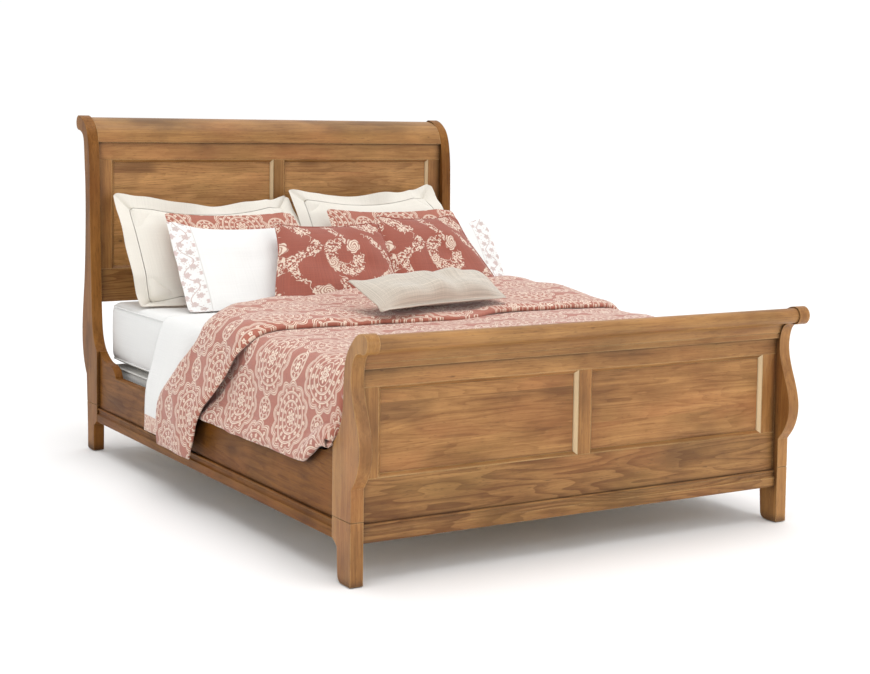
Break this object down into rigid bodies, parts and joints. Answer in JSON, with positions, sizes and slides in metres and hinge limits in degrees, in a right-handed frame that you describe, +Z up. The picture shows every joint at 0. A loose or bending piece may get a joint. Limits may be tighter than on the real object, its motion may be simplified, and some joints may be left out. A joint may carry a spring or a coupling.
{
  "type": "sleigh bed",
  "caption": "Wooden sleigh bed with scrolled posts, rolled head and foot, panelled boards and winged side rails, dressed with mattress, comforter, pillows and cushions.",
  "frame": {"origin": "on the floor, under the middle of the outline of the whole bed", "axes": "+Z up; +Y along the bed from the footboard to the headboard; +X to the right seen from the foot"},
  "size_m": [1.732, 2.5029, 1.332],
  "materials": {
    "cherry_wood": "warm brown stain, satin lacquer",
    "pale_wood": "plain planed softwood",
    "steel": "black powder coat",
    "zinc_steel": "zinc plated",
    "brass": "machined",
    "nylon": "moulded",
    "ticking": "woven cover",
    "mattress_cover": "quilted knit",
    "white_cotton": "smooth percale",
    "cream_cotton": "soft matelasse",
    "medallion_cotton": "printed cotton, cream medallions on terracotta",
    "toile_linen": "printed linen, cream sprigs on terracotta",
    "natural_linen": "slubby natural linen"
  },
  "bodies": {
    "bed": {"beam_hangers": "steel", "centre_beam": "pale_wood", "comforter": "medallion_cotton", "fitted_sheet": "white_cotton", "flat_sheet": "white_cotton", "foot_base_moulding": "cherry_wood", "foot_bottom_rail": "cherry_wood", "foot_centre_stile": "cherry_wood", "foot_cove_rail": "cherry_wood", "foot_panel_beads": "cherry_wood", "foot_panel_left": "cherry_wood", "foot_panel_right": "cherry_wood", "foot_post_left": "cherry_wood", "foot_post_right": "cherry_wood", "foot_roll": "cherry_wood", "foot_stile_left": "cherry_wood", "foot_stile_right": "cherry_wood", "foot_top_rail": "cherry_wood", "foundation": "ticking", "head_bottom_rail": "cherry_wood", "head_centre_stile": "cherry_wood", "head_crest_rail": "cherry_wood", "head_lower_rail": "cherry_wood", "head_panel_beads": "cherry_wood", "head_panel_left": "cherry_wood", "head_panel_right": "cherry_wood", "head_post_left": "cherry_wood", "head_post_right": "cherry_wood", "head_stile_left": "cherry_wood", "head_stile_right": "cherry_wood", "head_top_rail": "cherry_wood", "ledger_left": "pale_wood", "ledger_right": "pale_wood", "lumbar_cushion": "natural_linen", "mattress": "mattress_cover", "medallion_pillow_left": "medallion_cotton", "medallion_pillow_right": "medallion_cotton", "post_glides": "nylon", "rail_joint_plates": "steel", "rail_moulding_left": "cherry_wood", "rail_moulding_right": "cherry_wood", "sham_left": "cream_cotton", "sham_right": "cream_cotton", "side_rail_left": "cherry_wood", "side_rail_right": "cherry_wood", "slat_1": "pale_wood", "slat_2": "pale_wood", "slat_3": "pale_wood", "slat_4": "pale_wood", "slat_5": "pale_wood", "support_leg_1": "pale_wood", "support_leg_2": "pale_wood", "threaded_inserts": "brass", "toile_cushion_left": "toile_linen", "toile_cushion_right": "toile_linen", "white_pillow_left": "white_cotton", "white_pillow_right": "white_cotton", "wood_screws": "steel"},
    "levelling_foot_1": {"levelling_foot_1": "zinc_steel"},
    "levelling_foot_2": {"levelling_foot_2": "zinc_steel"}
  },
  "joints": [
    {"name": "levelling_foot_1_screw", "type": "slide", "parent": "bed", "child": "levelling_foot_1", "axis": [0, 0, 1], "range_m": [-0.006, 0.012]},
    {"name": "levelling_foot_2_screw", "type": "slide", "parent": "bed", "child": "levelling_foot_2", "axis": [0, 0, 1], "range_m": [-0.006, 0.012]}
  ]
}
